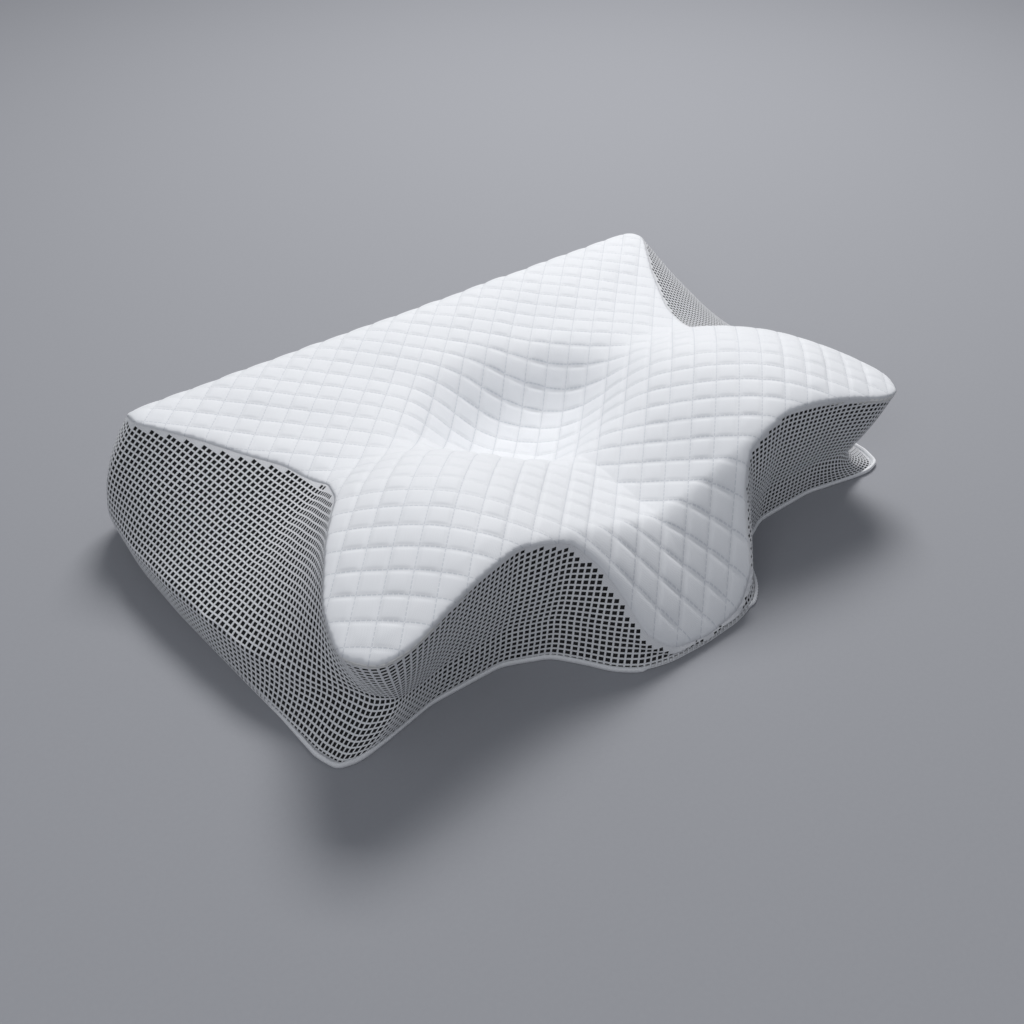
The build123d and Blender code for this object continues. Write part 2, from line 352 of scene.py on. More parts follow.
def fill_loop(loop, pitch):
    """Plan points and faces: the loop's own points come first, then the diagonal grid's."""
    across = np.stack([loop[:, 0] + loop[:, 1], loop[:, 1] - loop[:, 0]], axis=1) * DIAGONAL / pitch
    low, high = np.floor(across.min(axis=0)) - 1, np.ceil(across.max(axis=0)) + 1
    u, v = np.meshgrid(np.arange(low[0], high[0]), np.arange(low[1], high[1]), indexing="ij")
    grid = np.stack([(u - v) * DIAGONAL * pitch, (u + v) * DIAGONAL * pitch], axis=-1)
    good = inside(grid[..., 0], grid[..., 1], loop)
    flat = grid.reshape(-1, 2)
    chosen = np.flatnonzero(good)
    near = reach_of(flat[chosen], loop)
    good.reshape(-1)[chosen[near < RIM_CLEAR * pitch]] = False
    # Only whole cells are kept. Their points are numbered after the loop's own.
    cells = good[:-1, :-1] & good[1:, :-1] & good[1:, 1:] & good[:-1, 1:]
    numbers = np.arange(good.size).reshape(good.shape)
    quads = np.stack([numbers[:-1, :-1], numbers[1:, :-1], numbers[1:, 1:], numbers[:-1, 1:]], axis=-1)[cells]
    used = np.unique(quads)
    renumber = np.full(good.size, -1)
    renumber[used] = np.arange(len(used)) + len(loop)
    faces = [tuple(renumber[q]) for q in quads]
    points = np.concatenate([loop, flat[used]])
    # A side that belongs to one cell only is on the grid's rim.
    sides = np.concatenate([quads[:, [k, (k + 1) % 4]] for k in range(4)])
    keys, counts = np.unique(np.sort(sides, axis=1), axis=0, return_counts=True)
    rim = renumber[keys[counts == 1]]
    rim_points = np.unique(rim)
    local = {int(p): i + len(loop) for i, p in enumerate(rim_points)}
    # Triangles join the rim to the loop, and those that fall on a cell are left out.
    plan = [Vector(p) for p in loop] + [Vector(points[p]) for p in rim_points]
    edges = [(i, (i + 1) % len(loop)) for i in range(len(loop))]
    edges += [(local[int(a)], local[int(b)]) for a, b in rim]
    found = delaunay_2d_cdt(plan, edges, [], 1, WELD)
    original = [group[0] for group in found[3]]
    back = {i: int(p) for p, i in local.items()}
    for face in found[2]:
        corners = [original[k] for k in face]
        corners = [c if c < len(loop) else back[c] for c in corners]
        centre = points[corners].mean(axis=0)
        a = int(np.floor((centre[0] + centre[1]) * DIAGONAL / pitch - low[0]))
        b = int(np.floor((centre[1] - centre[0]) * DIAGONAL / pitch - low[1]))
        if not cells[a, b]:
            faces.append(tuple(corners))
    return points, faces


# %% [markdown]
# ## Puffs of the quilt
# The quilt is a thin knitted face stitched through a soft filling. Between the stitches the filling pushes
# the face up into small diamonds; at each stitch it is pulled down to a sharp valley. The puff height follows
# the product of two sine waves, raised to a low power, which is steep at the stitches and round in the
# middle. No two puffs are quite alike, so each diamond's row and column give it a factor of its own, and slow
# noise lays shallow waves over all of them.

# %% Puffs and waves
QUILT_PITCH = 18.0
PUFF = 1.5
PUFF_POWER = 0.3
PUFF_VARIETY = 0.22


def puff(x, y):
    """How far the face stands above its stitches."""
    u = (x + y) * DIAGONAL / QUILT_PITCH
    v = (y - x) * DIAGONAL / QUILT_PITCH
    swell = (np.abs(np.sin(math.pi * u)) * np.abs(np.sin(math.pi * v))) ** PUFF_POWER
    factor = 1 + PUFF_VARIETY * np.sin(np.floor(u) * 12.9898 + np.floor(v) * 78.233)
    return PUFF * swell * factor


def crumple(x, y):
    """Slow, shallow waves of the cloth, and finer ones on them."""
    waves = np.array([noise.noise(Vector((a * 0.016, b * 0.016, 3.1))) for a, b in zip(x, y)])
    ripples = np.array([noise.noise(Vector((a * 0.05, b * 0.05, 9.7))) for a, b in zip(x, y)])
    return 1.6 * waves + 0.5 * ripples


def top_points(plan, rise):
    """Points over a plan that stand off the crown, along its normals, by the rise."""
    x, y = plan[:, 0], plan[:, 1]
    z = crown(x, y)
    step = 0.5
    slope_x = (crown(x + step, y) - crown(x - step, y)) / (2 * step)
    slope_y = (crown(x, y + step) - crown(x, y - step)) / (2 * step)
    normal = np.stack([-slope_x, -slope_y, np.ones_like(x)], axis=1)
    normal /= np.linalg.norm(normal, axis=1)[:, None]
    return np.stack([x, y, z], axis=1) + normal * rise[:, None]


print("puff in the middle of a diamond", round(float(puff(0.0, QUILT_PITCH * DIAGONAL)), 2), "mm")

# %% [markdown]
# ## Quilted top
# The face is the diagonal grid inside the seam, lifted off the crown. Near the seam the puffs fade and the
# edge rolls down to meet the net, because the seam holds the layers tight there. A solidify modifier gives the
# cloth its thickness.

# %% Make the quilted face
CELLS_PER_PUFF = 9
SEAM_STEP = 1.6
ROLL_REACH = 9.0
ROLL_HEIGHT = 2.0
PUFF_FADE = 16.0
SEAM_PUFF = 0.12
WAVE_FADE = 30.0
seam_places = np.linspace(0, GIRTH, int(GIRTH / SEAM_STEP), endpoint=False)
seam_profiles = columns(seam_places)
seam_loop = seam_profiles[:, -1, :2]
quilt_plan, quilt_faces = fill_loop(seam_loop, QUILT_PITCH / CELLS_PER_PUFF)
to_seam = reach_of(quilt_plan, seam_loop)
roll_in = np.clip(to_seam / ROLL_REACH, 0, 1)
lift = puff(quilt_plan[:, 0], quilt_plan[:, 1]) * np.clip(to_seam / PUFF_FADE, SEAM_PUFF, 1)
lift += crumple(quilt_plan[:, 0], quilt_plan[:, 1]) * np.clip(to_seam / WAVE_FADE, 0, 1)
lift += ROLL_HEIGHT * np.sqrt(np.clip(1 - (1 - roll_in) ** 2, 0, 1))
quilt_points = top_points(quilt_plan, lift)
quilt = piece("quilted_top", quilt_points, quilt_faces, ["quilt_face"], "quilt_knit")
thicken(quilt, 0.9)
print("quilt stands", round(float(lift.max()), 1), "mm above the crown")

# %% [markdown]
# ## Net band
# The side is a knitted net: a white grid with square holes over black spacer cloth. Painted squares would
# look flat from the side, so each mesh is a real hole: four strips of cloth round a square opening. The rows
# climb at an even pitch and are cut off by the seam, as on cloth cut from a roll. Over the zip the net is left
# open. It is made as a right and a left half, because one mesh of the whole net would be too heavy to pass on.

# %% Make the net
NET_PITCH = 4.8
STRAND = 0.15
NET_START = 1.2
ZIP_WALL = 190.0
SMALLEST_FACE = 0.025
zip_low, zip_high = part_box("zip_tape_lower")[0] / MM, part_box("zip_tape_upper")[1] / MM
ZIP_MIDDLE = (zip_low.z + zip_high.z) / 2
ZIP_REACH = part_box("zip_coil_upper")[1].x / MM + 6
net_columns = 2 * int(GIRTH / NET_PITCH / 2)
net_rows = int(heights.max() / NET_PITCH) + 2


def over_zip(points, margin_x, margin_z):
    """Whether the middle of some points lies over the zip, or within the margins round it."""
    middle = points.mean(axis=0)
    return (middle[1] > ZIP_WALL and abs(middle[0]) < ZIP_REACH + margin_x
            and abs(middle[2] - ZIP_MIDDLE) < margin_z)


def make_net(first, last):
    """The net from one column to another, as points and faces."""
    order = np.arange(first, last + 1)
    part = GIRTH / net_columns
    rows = NET_START + np.arange(net_rows + 1) * NET_PITCH
    posts, tops = climb(columns(order * part), rows)
    inner_rows = np.stack([rows[:-1] + STRAND * NET_PITCH, rows[1:] - STRAND * NET_PITCH], axis=1).ravel()
    left = climb(columns((order + STRAND) * part), inner_rows)[0]
    right = climb(columns((order + 1 - STRAND) * part), inner_rows)[0]
    points = list(posts.reshape(-1, 3))
    faces = []
    holes = 0
    for i in range(last - first):
        for r in range(net_rows):
            outer = [i * (net_rows + 1) + r, i * (net_rows + 1) + r + 1,
                     (i + 1) * (net_rows + 1) + r + 1, (i + 1) * (net_rows + 1) + r]
            if rows[r] >= max(tops[i], tops[i + 1]):
                continue
            if over_zip(np.array([points[k] for k in outer]), margin_x=2, margin_z=7):
                continue
            if rows[r + 1] > min(tops[i], tops[i + 1]):
                faces.append(outer)
                continue
            hole = len(points)
            holes += 1
            points += [left[i, 2 * r], left[i, 2 * r + 1], right[i, 2 * r + 1], right[i, 2 * r]]
            for k in range(4):
                m = (k + 1) % 4
                faces.append([outer[k], outer[m], hole + m, hole + k])
    print("holes", holes)
    return np.array(points), faces


def without_spare(points, faces):
    """Drops points that no face uses, and faces that have shrunk to nothing."""
    kept = []
    for face in faces:
        corners = points[list(face)]
        across = np.cross(corners[2] - corners[0], corners[-1] - corners[1])
        if np.linalg.norm(across) / 2 > SMALLEST_FACE:
            kept.append(face)
    used = np.unique(np.concatenate([np.array(f) for f in kept]))
    renumber = np.full(len(points), -1)
    renumber[used] = np.arange(len(used))
    return points[used], [tuple(int(renumber[k]) for k in f) for f in kept]


for name, first in (("net_band_right", 0), ("net_band_left", net_columns // 2)):
    half_net = without_spare(*make_net(first, first + net_columns // 2))
    net = piece(name, *half_net, ["side_net"], "net_white", smooth=False)
    thicken(net, 0.4)

# %% [markdown]
# ## Spacer band
# Behind the net lies a thick black spacer cloth, set in by one millimetre. It is the dark that shows
# through every hole. It needs no holes of its own, so an even grid of quads is enough. It starts a little
# above the table, where the binding covers its edge, and leaves room for the zip.

# %% Make the spacer
SPACER_PITCH = 6.0
SPACER_START = 4.0
SPACER_DEPTH = 1.0
SPACER_LOWEST = 1.5


def band_grid(pitch, bottom):
    """An even grid of quads round the whole side, from the bottom up to the seam."""
    count = int(GIRTH / pitch)
    rows = np.concatenate([[bottom], np.arange(pitch, heights.max() + pitch, pitch)])
    posts, tops = climb(columns(np.arange(count) * GIRTH / count), rows)
    points = posts.reshape(-1, 3)
    faces = []
    for i in range(count):
        j = (i + 1) % count
        for r in range(len(rows) - 1):
            if rows[r] < max(tops[i], tops[j]):
                faces.append((i * len(rows) + r, i * len(rows) + r + 1,
                              j * len(rows) + r + 1, j * len(rows) + r))
    return points, faces


spacer_points, spacer_faces = band_grid(SPACER_PITCH, SPACER_START)
spacer_points = set_in(spacer_points, spacer_faces, SPACER_DEPTH)
spacer_points[:, 2] = np.maximum(spacer_points[:, 2], SPACER_LOWEST)
spacer_faces = [f for f in spacer_faces if not over_zip(spacer_points[list(f)], margin_x=8, margin_z=12)]
spacer = piece("spacer_band", *without_spare(spacer_points, spacer_faces), ["side_spacer"], "spacer_dark")
thicken(spacer, 2.0)

# %% [markdown]
# ## Foam, inner case, filling and backing
# Under the cover everything follows the same skin, each layer a little further in. One closed hull is made
# from the top, the side and the base, and moved inwards along its normals. Below the waist its rings are
# pulled in to the waist's line, so that nothing pokes out where the foot is thin. The quilt's filling and its
# backing are the crown again, sunk under the face.

# %% Make the layers inside
HULL_PITCH = 9.0
RING_STEP = 3
WAIST_SHARE = 3


def hull():
    """The closed skin of the pillow: rings up the side, a flat base and the crown."""
    count = int(GIRTH / HULL_PITCH)
    profiles = columns(np.arange(count) * GIRTH / count)
    rings = profiles[:, ::RING_STEP].copy()
    waist_ring = rings.shape[1] // WAIST_SHARE
    middle = rings[:, waist_ring]
    out = np.roll(middle, -1, axis=0) - np.roll(middle, 1, axis=0)
    out = np.stack([-out[:, 1], out[:, 0]], axis=1)
    out /= np.linalg.norm(out, axis=1)[:, None]
    for ring in range(waist_ring):
        spread = ((rings[:, ring, :2] - middle[:, :2]) * out).sum(axis=1)
        rings[:, ring, :2] -= out * np.maximum(spread, 0)[:, None]
    ring_count = rings.shape[1]
    points = list(rings.transpose(1, 0, 2).reshape(-1, 3))
    faces = []
    for r in range(ring_count - 1):
        for i in range(count):
            j = (i + 1) % count
            faces.append((r * count + j, r * count + i, (r + 1) * count + i, (r + 1) * count + j))
    for ring, level in ((0, None), (ring_count - 1, crown)):
        loop = rings[:, ring, :2]
        plan, inner = fill_loop(loop, HULL_PITCH)
        first = len(points) - count
        number = [ring * count + k if k < count else first + k for k in range(len(plan))]
        rise = np.zeros(len(plan)) if level is None else level(plan[:, 0], plan[:, 1])
        points += [(p[0], p[1], z) for p, z in zip(plan[count:], rise[count:])]
        for face in inner:
            corners = [number[k] for k in face]
            faces.append(tuple(corners if level else corners[::-1]))
    return np.array(points, float), faces


hull_points, hull_faces = hull()
for name, depth, lowest, nodes, slot in (("foam_block", 8.2, 3.2, ["foam_core"], "foam"),
                                         ("inner_case", 6.9, 1.9, ["liner_top", "liner_base"], "lining")):
    moved = set_in(hull_points, hull_faces, depth)
    moved[:, 2] = np.maximum(moved[:, 2], lowest)
    layer = piece(name, moved, hull_faces, nodes, slot)
    if name == "inner_case":
        thicken(layer, 0.8)

coarse_plan, coarse_faces = fill_loop(seam_loop[::3], QUILT_PITCH / 4)
for name, depth, thickness, node, slot in (("quilt_filling", 0.2, 3.4, "quilt_wadding", "wadding"),
                                           ("quilt_back", 4.4, 0.7, "quilt_backing", "lining")):
    sunk = top_points(coarse_plan, np.full(len(coarse_plan), -depth))
    layer = thicken(piece(name, sunk, coarse_faces, [node], slot), thickness)

# %% [markdown]
# ## Base cloth and binding
# Underneath lies a flat cloth. A folded white tape is sewn over the raw edges where the band meets it, and
# shows as a thin lip round the foot. The tape is a small rounded section carried round the foot line. At the
# ends of the wings, along the back and at the tip of the tongue the foam rolls it under, so there it is
# tucked in and flattened.

# %% Make the base and its binding
TAPE_SECTION = ((-1.5, 0.2), (0.4, 0.1), (1.3, 0.7), (1.5, 2.2),
                (1.3, 3.9), (0.6, 4.5), (-0.9, 4.4), (-1.5, 2.0))
TUCK_IN = 3.2
TUCK_FLAT = 0.45
BASE_PITCH = 8.0
BASE_LEVEL = 1.6
SAG = 0.25


def carried(path, section, outward, tuck):
    """A section of (outward, up) steps carried along a closed path, and tucked inwards in places."""
    points = []
    for p, o, t in zip(path, outward, tuck):
        for out, up in section:
            out = out - TUCK_IN * t
            points.append((p[0] + o[0] * out, p[1] + o[1] * out, p[2] + up * (1 - TUCK_FLAT * t)))
    count, size = len(path), len(section)
    faces = []
    for i in range(count):
        j = (i + 1) % count
        for k in range(size):
            m = (k + 1) % size
            faces.append((i * size + k, j * size + k, j * size + m, i * size + m))
    return np.array(points), faces


foot = seam_profiles[:, 0]
ahead = np.roll(foot, -1, axis=0) - np.roll(foot, 1, axis=0)
foot_out = np.stack([-ahead[:, 1], ahead[:, 0]], axis=1)
foot_out /= np.linalg.norm(foot_out, axis=1)[:, None]
at_wing = np.clip((np.abs(foot[:, 0]) - 292) / 6, 0, 1)
at_back = np.clip((foot[:, 1] - 190) / 10, 0, 1)
at_tongue = np.clip((-foot[:, 1] - 196) / 8, 0, 1) * np.clip((60 - np.abs(foot[:, 0])) / 8, 0, 1)
tuck = np.minimum(at_wing + at_back + at_tongue, 1)
binding = piece("foot_binding", *carried(foot, TAPE_SECTION, foot_out, tuck), ["edge_binding"], "binding")

base_plan, base_faces = fill_loop(foot[::4, :2] - foot_out[::4] * 1.4, BASE_PITCH)
sag = np.array([SAG * noise.noise(Vector((p[0] * 0.03, p[1] * 0.03, 1.7))) for p in base_plan])
base_points = np.stack([base_plan[:, 0], base_plan[:, 1], BASE_LEVEL + sag], axis=1)
base = thicken(piece("base_cloth", base_points, base_faces, ["bottom_panel"], "base_cloth"), 1.0)

# %% [markdown]
# ## Zip
# The coils of a nylon zip are two helices sewn to woven tapes. Each coil is a thin tube along a helix,
# flattened front to back. The tapes are woven strips with a slight ripple. The slider, its pull and the stops
# come from CAD.

# %% Make the coils and the tapes
COIL_TURN = 1.5
COIL_THREAD = 0.32
POINTS_PER_TURN = 10
TAPE_ALONG, TAPE_ACROSS = 240, 9


def tube(centres, radius, sides=6):
    """A closed tube along a line of points."""
    points, faces = [], []
    ahead = np.gradient(centres, axis=0)
    for p, t in zip(centres, ahead):
        t = t / np.linalg.norm(t)
        a = np.cross(t, (0.3, 1, 0.2))
        a /= np.linalg.norm(a)
        b = np.cross(t, a)
        for k in range(sides):
            turn = 2 * math.pi * k / sides
            points.append(p + radius * (a * math.cos(turn) + b * math.sin(turn)))
    for i in range(len(centres) - 1):
        for k in range(sides):
            m = (k + 1) % sides
            faces.append((i * sides + k, i * sides + m, (i + 1) * sides + m, (i + 1) * sides + k))
    faces.append(tuple(range(sides))[::-1])
    faces.append(tuple((len(centres) - 1) * sides + k for k in range(sides)))
    return np.array(points), faces


for side in ("upper", "lower"):
    low, high = (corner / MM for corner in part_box(f"zip_coil_{side}"))
    middle, half = (low + high) / 2, (high - low) / 2
    turns = (high.x - low.x - 2) / COIL_TURN
    angle = np.linspace(0, 2 * math.pi * turns, int(turns * POINTS_PER_TURN))
    helix = np.stack([low.x + 1 + angle / (2 * math.pi) * COIL_TURN,
                      middle.y + (half.y - COIL_THREAD) * np.sin(angle),
                      middle.z + (half.z - COIL_THREAD) * np.cos(angle)], axis=1)
    piece(f"coil_{side}", *tube(helix, COIL_THREAD), [f"zip_coil_{side}"], "zip_coil")

    low, high = (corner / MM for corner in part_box(f"zip_tape_{side}"))
    xs = np.linspace(low.x, high.x, TAPE_ALONG)
    zs = np.linspace(low.z, high.z, TAPE_ACROSS)
    points = [(x, high.y - 0.05 + 0.04 * math.sin(x * 0.21) * math.cos(z), z) for x in xs for z in zs]
    faces = []
    for i in range(TAPE_ALONG - 1):
        for k in range(TAPE_ACROSS - 1):
            n = i * TAPE_ACROSS + k
            faces.append((n, n + 1, n + TAPE_ACROSS + 1, n + TAPE_ACROSS))
    tape = thicken(piece(f"tape_{side}", points, faces, [f"zip_tape_{side}"], "zip_tape"), 0.6, 1.0)

# %% [markdown]
# ## Hem of the zip opening and the care label
# The net is turned in and hemmed with tape round the zip, or it would fray. The blank care label is a folded
# ribbon with its two ends sewn in together.

# %% Make the hem and the label
HEM_HALF = 8.0
HEM_X = ZIP_REACH + 2
HEM_CORNER = 3
HEM_SPACING = 3
HEM_SECTION = ((-2.0, 207.6), (-2.0, 208.6), (-1.4, 209.2), (1.4, 209.5), (2.2, 209.0), (2.2, 208.0))
LABEL_ALONG, LABEL_UP = 15, 21


def rounded_frame(half_x, half_z, corner, steps=8):
    """A rectangle with round corners, as a closed line."""
    path = []
    for k, (sx, sz) in enumerate(((1, 1), (-1, 1), (-1, -1), (1, -1))):
        for s in range(steps + 1):
            turn = math.pi / 2 * (k + s / steps)
            path.append((sx * (half_x - corner) + corner * math.cos(turn),
                         sz * (half_z - corner) + corner * math.sin(turn)))
    return path


def hem_mesh():
    """The hem's section, as (outward, y) steps, carried round the opening."""
    path = []
    outline = rounded_frame(HEM_X, HEM_HALF, HEM_CORNER)
    for (ax, az), (bx, bz) in zip(outline, outline[1:] + outline[:1]):
        count = max(int(math.hypot(bx - ax, bz - az) / HEM_SPACING), 1)
        path += [(ax + (bx - ax) * k / count, az + (bz - az) * k / count) for k in range(count)]
    path = np.array(path)
    ahead = np.roll(path, -1, axis=0) - np.roll(path, 1, axis=0)
    out = np.stack([ahead[:, 1], -ahead[:, 0]], axis=1)
    out /= np.linalg.norm(out, axis=1)[:, None]
    points, faces = [], []
    for (x, z), (ox, oz) in zip(path, out):
        for along, y in HEM_SECTION:
            points.append((x + ox * along, y, ZIP_MIDDLE + z + oz * along))
    size = len(HEM_SECTION)
    for i in range(len(path)):
        j = (i + 1) % len(path)
        for k in range(size):
            m = (k + 1) % size
            faces.append((i * size + k, i * size + m, j * size + m, j * size + k))
    return points, faces


piece("zip_hem", *hem_mesh(), [], "binding")

low, high = (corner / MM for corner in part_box("care_label"))
label_points, label_faces = [], []
for i, x in enumerate(np.linspace(low.x, high.x, LABEL_ALONG)):
    for k, z in enumerate(np.linspace(low.z, high.z, LABEL_UP)):
        label_points.append((x, (low.y + high.y) / 2 + 0.12 * math.sin(x * 0.4 + z * 0.2), z))
        if i and k:
            n = i * LABEL_UP + k
            label_faces.append((n - LABEL_UP - 1, n - LABEL_UP, n, n - 1))
label = thicken(piece("label_ribbon", label_points, label_faces, ["care_label"], "label"), 0.25, 0.0)

# %% [markdown]
# ## Seam stitches
# A lockstitch shows as a row of short threads lying on the cloth, each with its ends pulled in. One small
# bent tube is repeated round the binding, and the whole row is one mesh.

# %% Make the row of stitches
STITCH_ARCH = ((0, -0.2), (0.18, 0.22), (0.5, 0.3), (0.82, 0.22), (1, -0.2))


def stitch_row(name, line, normals, length, gap, radius, slot):
    """One mesh of stitches along a line; the arch gives each one's (share of length, height) steps."""
    run = np.concatenate([[0], np.cumsum(np.linalg.norm(np.diff(line, axis=0), axis=1))])
    points, faces = [], []
    for start in np.arange(0, run[-1] - length, length + gap):
        ends = np.array([[np.interp(start + s, run, line[:, c]) for c in range(3)] for s in (0, length)])
        normal = np.array([np.interp(start, run, normals[:, c]) for c in range(3)])
        centres = [ends[0] + (ends[1] - ends[0]) * s + normal * h for s, h in STITCH_ARCH]
        ring, skin = tube(np.array(centres), radius, 5)
        faces += [tuple(k + len(points) for k in f) for f in skin]
        points += list(ring)
    return piece(name, points, faces, [], slot)


foot_normals = np.concatenate([foot_out, np.zeros((len(foot_out), 1))], axis=1)
tape_line = foot + foot_normals * (1.42 - TUCK_IN * tuck)[:, None]
tape_line[:, 2] += 2.9 * (1 - TUCK_FLAT * tuck)
stitch_row("binding_stitches", tape_line[::2], foot_normals[::2],
           length=2.4, gap=0.9, radius=0.22, slot="thread")

# %% [markdown]
# ## Finishes
# All finishes are procedural. A fabric is a rough Principled surface with some sheen, whose fine threads come
# from bump at thread scale, and whose colour varies a little, because no cloth is one flat tone. The helpers
# below each add one step: the shader, a sum, a noise, a colour ramp, a bump, a weave.

# %% Node helpers


def finish(name, base, rough, sheen=0.0, metallic=0.0):
    material = bpy.data.materials.new(name)
    material.use_nodes = True
    nodes, links = material.node_tree.nodes, material.node_tree.links
    shader = nodes["Principled BSDF"]
    shader.inputs["Base Color"].default_value = (*base, 1)
    shader.inputs["Roughness"].default_value = rough
    shader.inputs["Sheen Weight"].default_value = sheen
    shader.inputs["Metallic"].default_value = metallic
    where = nodes.new("ShaderNodeTexCoord").outputs["Object"]
    return material, nodes, links, shader, where


def sums(nodes, links, kind, a, b=None, c=None, clamp=False):
    """A maths node whose inputs are numbers or other nodes' sockets."""
    node = nodes.new("ShaderNodeMath")
    node.operation = kind
    node.use_clamp = clamp
    for socket, value in zip(node.inputs, (a, b, c)):
        if value is None:
            continue
        if isinstance(value, (int, float)):
            socket.default_value = value
        else:
            links.new(value, socket)
    return node.outputs[0]


def speckle(nodes, links, where, scale, detail=2.0):
    node = nodes.new("ShaderNodeTexNoise")
    node.inputs["Scale"].default_value = scale
    node.inputs["Detail"].default_value = detail
    links.new(where, node.inputs["Vector"])
    return node.outputs["Fac"]


def tinted(nodes, links, shader, factor, low, high):
    ramp = nodes.new("ShaderNodeValToRGB")
    ramp.color_ramp.elements[0].color = (*low, 1)
    ramp.color_ramp.elements[1].color = (*high, 1)
    links.new(factor, ramp.inputs["Fac"])
    links.new(ramp.outputs["Color"], shader.inputs["Base Color"])


def raised(nodes, links, shader, height, distance, strength=1.0):
    bump = nodes.new("ShaderNodeBump")
    bump.inputs["Distance"].default_value = distance
    bump.inputs["Strength"].default_value = strength
    links.new(height, bump.inputs["Height"])
    links.new(bump.outputs["Normal"], shader.inputs["Normal"])


def threads(nodes, links, where, pitch, turn=0.0):
    """Two crossed sets of threads, as in a plain weave."""
    turned = nodes.new("ShaderNodeMapping")
    turned.inputs["Rotation"].default_value = (0, 0, turn)
    turned.inputs["Scale"].default_value = (1 / pitch,) * 3
    links.new(where, turned.inputs["Vector"])
    parts = nodes.new("ShaderNodeSeparateXYZ")
    links.new(turned.outputs["Vector"], parts.inputs["Vector"])
    waves = [sums(nodes, links, "SINE", sums(nodes, links, "MULTIPLY", parts.outputs[k], 2 * math.pi))
             for k in range(3)]
    crossed = sums(nodes, links, "MULTIPLY", waves[0], sums(nodes, links, "ADD", waves[1], waves[2]))
    return sums(nodes, links, "MULTIPLY_ADD", crossed, 0.5, 0.5)


# %% [markdown]
# ### Quilt knit
# The knit is nearly white and matt. Along the valleys, dashed stitch lines are painted darker as painted shade
# in the creases and sunk as bump, worked out from the same diagonal pitch as the mesh, so they lie exactly in
# them.
# Fibre and knit are bump.

# %% Quilt finish
STITCHES_PER_DIAMOND = 5
LINE_HALF_WIDTH = 0.022
DASH_GAP = 0.12


def quilt_finish():
    material, nodes, links, shader, where = finish("quilt knit", (0.86, 0.88, 0.91), rough=0.86, sheen=0.25)
    parts = nodes.new("ShaderNodeSeparateXYZ")
    links.new(where, parts.inputs["Vector"])
    x, y = parts.outputs["X"], parts.outputs["Y"]
    scale = DIAGONAL / (QUILT_PITCH * MM)
    lines = []
    both_ways = (sums(nodes, links, "ADD", x, y), sums(nodes, links, "SUBTRACT", y, x))
    for across, along in (both_ways, both_ways[::-1]):
        place = sums(nodes, links, "MULTIPLY", across, scale)
        away = sums(nodes, links, "PINGPONG", place, 0.5)
        near = sums(nodes, links, "LESS_THAN", away, LINE_HALF_WIDTH)
        stitch = sums(nodes, links, "MULTIPLY", along, scale * STITCHES_PER_DIAMOND)
        dash = sums(nodes, links, "GREATER_THAN", sums(nodes, links, "PINGPONG", stitch, 0.5), DASH_GAP)
        lines.append(sums(nodes, links, "MULTIPLY", near, dash))
    # The dashed lines both ways: a mask for the stitches' sunken bump and for painted shade in the valleys.
    stitches_and_painted_shade = sums(nodes, links, "MAXIMUM", lines[0], lines[1])
    fibre = speckle(nodes, links, where, scale=900, detail=3)
    knit = threads(nodes, links, where, pitch=0.0011, turn=math.pi / 4)
    cloudy = speckle(nodes, links, where, scale=14)
    # Painted shade: the dashed valley lines pull the colour down towards the ramp's bluish grey low end.
    tone = sums(nodes, links, "MULTIPLY_ADD", stitches_and_painted_shade, -0.5, 0.75)
    tone = sums(nodes, links, "ADD", tone, sums(nodes, links, "MULTIPLY", cloudy, 0.25), clamp=True)
    tinted(nodes, links, shader, tone, low=(0.62, 0.65, 0.70), high=(0.90, 0.915, 0.94))
    height = sums(nodes, links, "ADD", sums(nodes, links, "MULTIPLY", fibre, 0.6),
                  sums(nodes, links, "MULTIPLY", knit, 0.5))
    height = sums(nodes, links, "SUBTRACT", height, sums(nodes, links, "MULTIPLY", stitches_and_painted_shade, 0.8))
    raised(nodes, links, shader, height, distance=0.0002, strength=0.6)
    return material


# %% [markdown]
# ### Woven cloths
# Binding, base cloth, linings, tapes, label, thread, net yarn and spacer are one recipe at different thread
# pitches: a weave with fibre noise drives both the colour and the bump, so light and dark follow the threads.

# %% Weave finish


def weave_finish(name, low, high, pitch, rough=0.85, sheen=0.2, depth=0.00015):
    material, nodes, links, shader, where = finish(name, high, rough, sheen)
    woven = threads(nodes, links, where, pitch)
    fibre = speckle(nodes, links, where, scale=1400)
    both = sums(nodes, links, "ADD", sums(nodes, links, "MULTIPLY", woven, 0.5), fibre)
    tinted(nodes, links, shader, both, low, high)
    raised(nodes, links, shader, both, depth, strength=0.7)
    return material


# %% [markdown]
# ### Foam, enamel and nylon
# Foam is cream, with small open cells. The zip's slider and pull are white enamel on metal, slightly worn,
# and its coils and stops are nylon, which lets a little light in under the surface.

# %% Foam, enamel and nylon finishes


def foam_finish():
    material, nodes, links, shader, where = finish("foam", (0.93, 0.89, 0.76), rough=0.95)
    cells = nodes.new("ShaderNodeTexVoronoi")
    cells.inputs["Scale"].default_value = 1100
    links.new(where, cells.inputs["Vector"])
    distance = cells.outputs["Distance"]
    tinted(nodes, links, shader, distance, low=(0.80, 0.74, 0.58), high=(0.94, 0.90, 0.79))
    raised(nodes, links, shader, distance, distance=0.0003, strength=0.6)
    return material


def enamel_finish():
    material, nodes, links, shader, where = finish("white enamel", (0.86, 0.86, 0.87), rough=0.28)
    shader.inputs["Coat Weight"].default_value = 0.5
    wear = speckle(nodes, links, where, scale=500, detail=4)
    tinted(nodes, links, shader, wear, low=(0.78, 0.78, 0.80), high=(0.90, 0.90, 0.91))
    raised(nodes, links, shader, wear, distance=0.00004, strength=0.3)
    return material


